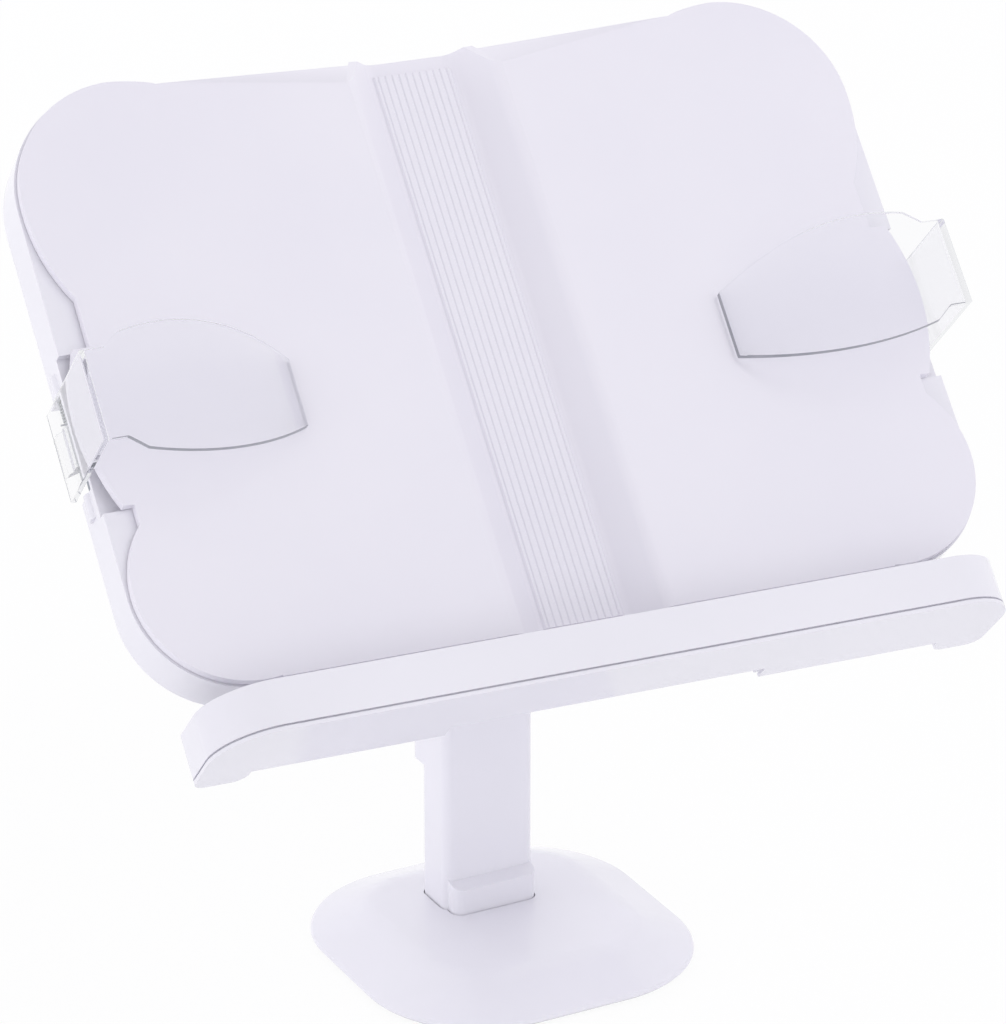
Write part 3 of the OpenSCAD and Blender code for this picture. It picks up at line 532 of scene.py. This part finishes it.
@dataclass
class RibbedStrip:
    """The spine strip with shallow ribs and sloped flanks, modelled in place of its node."""

    node: str
    body: str
    finish: Finish
    grooves: int = 11
    pitch_mm: float = 2.87
    columns: int = 12
    # Each step presses what lies this close to a groove's middle down by so much.
    groove_steps_mm: tuple[tuple[float, float], ...] = ((0.4, 0.25), (0.2, 0.25))
    spread_mm: float = 0.6
    flank_steps: int = 5
    crease_deg: float = 50.0

    @property
    def column_mm(self) -> float:
        """Width of one column of the grid that the strip is made from."""
        return self.pitch_mm / self.columns

    def build(self) -> bpy.types.Object:
        """Models the strip from a grid.

        Returns:
            The piece.
        """
        corners = [on_board(vertex.co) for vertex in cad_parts[self.node].data.vertices]
        low = Vector([min(corner[i] for corner in corners) for i in range(3)])
        high = Vector([max(corner[i] for corner in corners) for i in range(3)])
        half = int((high.x + self.spread_mm) / self.column_mm)
        piece = self.sheet(half, high.y - low.y)
        self.press(piece, half)
        self.thicken(piece, low.z - high.z)
        self.settle(piece, Vector((0, (low.y + high.y) / 2, high.z)))
        bpy.ops.object.shade_smooth_by_angle(angle=math.radians(self.crease_deg))
        stand_in(piece, self.node, self.body, self.finish)
        return piece

    def sheet(self, half: int, length: float) -> bpy.types.Object:
        """Makes the flat grid, in millimetres.

        Args:
            half: Number of columns on each side of the middle.
            length: Length of the strip.

        Returns:
            The grid, with x across and y along the strip.
        """
        bpy.ops.object.select_all(action="DESELECT")
        bpy.ops.mesh.primitive_grid_add(x_subdivisions=2 * half, y_subdivisions=1, size=2)
        piece = bpy.context.active_object
        piece.name = self.node + "_ribs"
        piece.scale = (half * self.column_mm, length / 2, 1)
        bpy.ops.object.transform_apply(scale=True)
        return piece

    def press(self, piece: bpy.types.Object, half: int) -> None:
        """Presses the grooves and the sloped flanks into the grid.

        Args:
            piece: The grid.
            half: Number of columns on each side of its middle.
        """
        for reach, drop in self.groove_steps_mm:
            self.lower(piece, lambda x, reach=reach: self.from_groove(x) < reach, drop)
        for i in range(self.flank_steps):
            edge = (half - i) * self.column_mm - self.column_mm / 2
            self.lower(piece, lambda x, edge=edge: abs(x) > edge, self.column_mm)

    def from_groove(self, x: float) -> float:
        """Distance in millimetres from x to the middle of the nearest groove."""
        nearest = max(-(self.grooves // 2), min(self.grooves // 2, round(x / self.pitch_mm)))
        return abs(x - nearest * self.pitch_mm)

    @staticmethod
    def lower(piece: bpy.types.Object, wanted: Callable[[float], bool], drop: float) -> None:
        """Presses some columns of the grid down.

        Args:
            piece: The strip, in millimetres.
            wanted: Tells from a point's x whether it goes down.
            drop: How far, in millimetres.
        """
        select_only(piece)
        deselect_mesh(piece.data)
        for vertex in piece.data.vertices:
            vertex.select = wanted(vertex.co.x)
        bpy.context.tool_settings.mesh_select_mode = (True, False, False)
        bpy.ops.object.mode_set(mode="EDIT")
        bpy.ops.transform.translate(value=(0, 0, -drop))
        bpy.ops.object.mode_set(mode="OBJECT")

    def thicken(self, piece: bpy.types.Object, bottom: float) -> None:
        """Makes the pressed grid a solid strip with a flat underside.

        Args:
            piece: The grid.
            bottom: Height of the underside, in millimetres.
        """
        bpy.ops.object.mode_set(mode="EDIT")
        bpy.ops.mesh.select_all(action="SELECT")
        bpy.ops.mesh.extrude_region_move(TRANSFORM_OT_translate={"value": (0, 0, bottom)})
        bpy.ops.mesh.select_all(action="SELECT")
        bpy.ops.mesh.normals_make_consistent(inside=False)
        bpy.ops.object.mode_set(mode="OBJECT")
        for vertex in piece.data.vertices:
            if vertex.co.z < bottom + self.column_mm / 2:
                vertex.co.z = bottom

    @staticmethod
    def settle(piece: bpy.types.Object, place: Vector) -> None:
        """Puts a piece that was shaped in millimetres onto the board.

        Args:
            piece: The piece, with x across, y up and z out of the board.
            place: Where its origin goes, across, up and out from the tilt axle.
        """
        turn = Matrix((Vector((1, 0, 0)), BOARD_UP, BOARD_OUT)).transposed()
        spot = TILT_AXLE + (turn @ place) * MM
        piece.matrix_world = Matrix.Translation(spot) @ turn.to_4x4() @ Matrix.Scale(MM, 4)
        select_only(piece)
        bpy.ops.object.transform_apply(location=True, rotation=True, scale=True)


@dataclass
class Hardware:
    """CAD nodes that are shown as they are, in one finish."""

    nodes: tuple[str, ...]
    finish: Finish

    def build(self) -> None:
        """Dresses the nodes."""
        for node in self.nodes:
            dress(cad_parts[node], self.finish)
            LOG.info("%s: %s", node, self.finish.name)


@dataclass
class Foot:
    """The square foot with its ballast and pad."""

    body: str = "base"

    def build(self) -> None:
        """Builds and dresses the foot."""
        Moulding("base_cover", self.body, GLOSSY_ABS, EdgeKind.SOFT).build()
        Moulding("base_plate", self.body, SATIN_ABS, EdgeKind.FINE).build()
        Moulding("base_pad", self.body, MATT_RUBBER, EdgeKind.FINE).build()
        Hardware(("base_weight", "base_screws"), ZINC_STEEL).build()


@dataclass
class Column:
    """The telescopic column with its clamp."""

    body: str = "base"
    knob_body: str = "knob"

    def build(self) -> None:
        """Builds and dresses the column, its clamp and the mast."""
        Moulding("column_sleeve", self.body, GLOSSY_ABS, EdgeKind.SOFT).build()
        Moulding("sleeve_collar", self.body, GLOSSY_ABS, EdgeKind.FINE).build()
        Moulding("clamp_knob", self.knob_body, SATIN_ABS, EdgeKind.SOFT).build()
        Hardware(("column_bolts", "mast_pins", "swivel_bolt"), ZINC_STEEL).build()
        Hardware(("mast",), SATIN_ALUMINIUM).build()
        Hardware(("clamp_shoe", "mast_shoe", "mast_plug"), NATURAL_NYLON).build()
        Hardware(("clamp_insert",), TURNED_BRASS).build()


@dataclass
class Hinge:
    """The knuckle, bracket and axle that carry the board."""

    knuckle_body: str = "head"
    bracket_body: str = "board"

    def build(self) -> None:
        """Builds and dresses the hinge."""
        Moulding("mast_head", self.knuckle_body, GLOSSY_ABS, EdgeKind.FINE).build()
        Moulding("hinge_bracket", self.bracket_body, GLOSSY_ABS, EdgeKind.FINE).build()
        Hardware(("tilt_axle", "axle_nut", "bracket_screws"), ZINC_STEEL).build()
        Hardware(("friction_washers",), NATURAL_NYLON).build()


@dataclass
class Board:
    """The two-page board with its spine channel."""

    body: str = "board"

    def build(self) -> None:
        """Builds and dresses the board."""
        RolledPanel("face_panel", self.body, SATIN_ABS, EdgeKind.FINE).build()
        RibbedStrip("spine_strip", self.body, SATIN_ABS).build()
        Moulding("board_frame", self.body, GLOSSY_ABS, EdgeKind.CRISP).build()
        Moulding("back_cover", self.body, SATIN_ABS, EdgeKind.FINE).build()
        Hardware(("panel_screws", "cover_screws"), ZINC_STEEL).build()


@dataclass
class Ledge:
    """The ledge with its front lip."""

    body: str = "board"

    def build(self) -> None:
        """Builds and dresses the ledge."""
        Moulding("ledge_tray", self.body, GLOSSY_ABS, EdgeKind.SOFT).build()
        Moulding("ledge_cover", self.body, GLOSSY_ABS, EdgeKind.FINE).build()
        Hardware(("ledge_screws",), ZINC_STEEL).build()


@dataclass
class PageClip:
    """A clear page clip with its pin and spring."""

    side: str

    def build(self) -> None:
        """Builds and dresses the clip, which rides the body of its own name."""
        clip = self.side + "_clip"
        # The leaf's cut faces get the painted grey edge shade.
        SheetClip(clip, clip, CLEAR_PC, EdgeKind.FINE, PAINTED_EDGE_SHADE).build()
        Hardware((clip + "_pin", clip + "_spring"), ZINC_STEEL).build()


@dataclass(frozen=True)
class View:
    """The photograph's camera."""

    azimuth: float = -23.45
    elevation: float = 23.14
    focal_px: float = 5000.0
    place_mm: tuple[float, float, float] = (-703.66, -1627.40, 944.96)
    sensor_mm: float = 36.0

    def build(self) -> None:
        """Makes the camera and sets it as the scene's."""
        az, el = math.radians(self.azimuth), math.radians(self.elevation)
        right = Vector((math.cos(az), math.sin(az), 0))
        up = Vector((-math.sin(az) * math.sin(el), math.cos(az) * math.sin(el), math.cos(el)))
        back = right.cross(up)
        lens = bpy.data.cameras.new("view")
        lens.sensor_fit = "HORIZONTAL"
        lens.sensor_width = self.sensor_mm
        lens.lens = self.focal_px * self.sensor_mm / FRAME_WIDTH_PX
        camera = bpy.data.objects.new("view", lens)
        turn = Matrix((right, up, back)).transposed().to_4x4()
        camera.matrix_world = Matrix.Translation(Vector(self.place_mm) * MM) @ turn
        bpy.context.scene.collection.objects.link(camera)
        bpy.context.scene.camera = camera


@dataclass(frozen=True)
class SoftBox:
    """A square white studio lamp, in metres and watts, that shows in no mirror image or glass."""

    name: str
    place: tuple[float, float, float]
    target: tuple[float, float, float]
    size: float
    power: float

    def build(self) -> None:
        """Makes the lamp and points it at its target."""
        lamp = bpy.data.lights.new(self.name, "AREA")
        lamp.shape = "SQUARE"
        lamp.size = self.size
        lamp.energy = self.power
        box = bpy.data.objects.new(self.name, lamp)
        box.visible_glossy = False
        box.visible_transmission = False
        aim = Vector(self.target) - Vector(self.place)
        turn = aim.to_track_quat("-Z", "Y").to_matrix().to_4x4()
        box.matrix_world = Matrix.Translation(self.place) @ turn
        bpy.context.scene.collection.objects.link(box)


@dataclass(frozen=True)
class Studio:
    """White sweep, soft boxes and a pale floor."""

    # The sky's light low down and high up, and the heights on a unit sphere where it has them.
    horizon: float = 1.27
    zenith: float = 0.66
    horizon_height: float = 0.15
    zenith_height: float = 0.75
    sky: str = "F7F6FB"
    floor_size: float = 12.0
    floor_shade: str = "F2F2F4"
    # Share of plain white in the floor as it is seen. The rest keeps the shadow.
    floor_glow: float = 0.94
    lamps: tuple[SoftBox, ...] = (
        SoftBox("key_box", (0.8, -1.2, 2.1), (0, 0, 0.2), size=1.2, power=9.0),
        SoftBox("back_box", (0.3, 2.0, 1.9), (0, 0, 0.1), size=2.2, power=17.0),
        SoftBox("left_box", (-2.4, 0.5, 0.5), (0, 0, 0.2), size=1.2, power=8.0),
    )

    def build(self) -> None:
        """Builds world, floor and lamps."""
        bpy.context.scene.view_settings.view_transform = "Standard"
        self.world()
        self.floor()
        for lamp in self.lamps:
            lamp.build()

    @staticmethod
    def seen(tree: bpy.types.NodeTree) -> bpy.types.NodeSocket:
        """Adds nodes that tell rays which see the background from rays that gather light.

        Args:
            tree: Node tree that gets the nodes.

        Returns:
            A socket that is one for camera, glossy and transmission rays.
        """
        path = add_node(tree, "ShaderNodeLightPath")
        first = add_node(tree, "ShaderNodeMath", {"operation": "MAXIMUM"},
                         {0: path.outputs["Is Camera Ray"], 1: path.outputs["Is Glossy Ray"]})
        both = add_node(tree, "ShaderNodeMath", {"operation": "MAXIMUM"},
                        {0: first.outputs["Value"], 1: path.outputs["Is Transmission Ray"]})
        return both.outputs["Value"]

    def world(self) -> None:
        """Makes a world that looks white and lights softly."""
        world = bpy.data.worlds.new("sweep")
        bpy.context.scene.world = world
        world.use_nodes = True
        tree = world.node_tree
        tree.nodes.clear()
        place = add_node(tree, "ShaderNodeTexCoord")
        height = add_node(tree, "ShaderNodeSeparateXYZ", {},
                          {"Vector": place.outputs["Generated"]})
        fade = add_node(tree, "ShaderNodeMapRange",
                        {"From Min": self.horizon_height, "From Max": self.zenith_height,
                         "To Min": self.horizon, "To Max": self.zenith},
                        {"Value": height.outputs["Z"]})
        soft = add_node(tree, "ShaderNodeBackground", {"Color": linear(self.sky)},
                        {"Strength": fade.outputs["Result"]})
        white = add_node(tree, "ShaderNodeBackground", {"Color": WHITE, "Strength": 1.0})
        mix = add_node(tree, "ShaderNodeMixShader", {},
                       {"Fac": self.seen(tree), 1: soft.outputs["Background"],
                        2: white.outputs["Background"]})
        add_node(tree, "ShaderNodeOutputWorld", {}, {"Surface": mix.outputs["Shader"]})

    def floor(self) -> None:
        """Makes a pale floor that looks white and keeps a faint shadow."""
        bpy.ops.object.select_all(action="DESELECT")
        bpy.ops.mesh.primitive_plane_add(size=self.floor_size)
        floor = bpy.context.active_object
        floor.name = "floor"
        made = bpy.data.materials.new("pale_floor")
        made.use_nodes = True
        tree = made.node_tree
        tree.nodes.clear()
        matt = add_node(tree, "ShaderNodeBsdfDiffuse", {"Color": linear(self.floor_shade)})
        glow = add_node(tree, "ShaderNodeEmission", {"Color": WHITE, "Strength": 1.0})
        share = add_node(tree, "ShaderNodeMath", {"operation": "MULTIPLY", 1: self.floor_glow},
                         {0: self.seen(tree)})
        mix = add_node(tree, "ShaderNodeMixShader", {},
                       {"Fac": share.outputs["Value"], 1: matt.outputs["BSDF"],
                        2: glow.outputs["Emission"]})
        add_node(tree, "ShaderNodeOutputMaterial", {}, {"Surface": mix.outputs["Shader"]})
        floor.data.materials.append(made)


def main() -> None:
    """Builds the stand and its studio."""
    logging.basicConfig(level=logging.INFO, format="%(message)s")
    View().build()
    for part in (Foot(), Column(), Hinge(), Board(), Ledge(),
                 PageClip("left"), PageClip("right"), Studio()):
        LOG.info("%s", type(part).__name__)
        part.build()


if __name__ == "__main__":
    main()
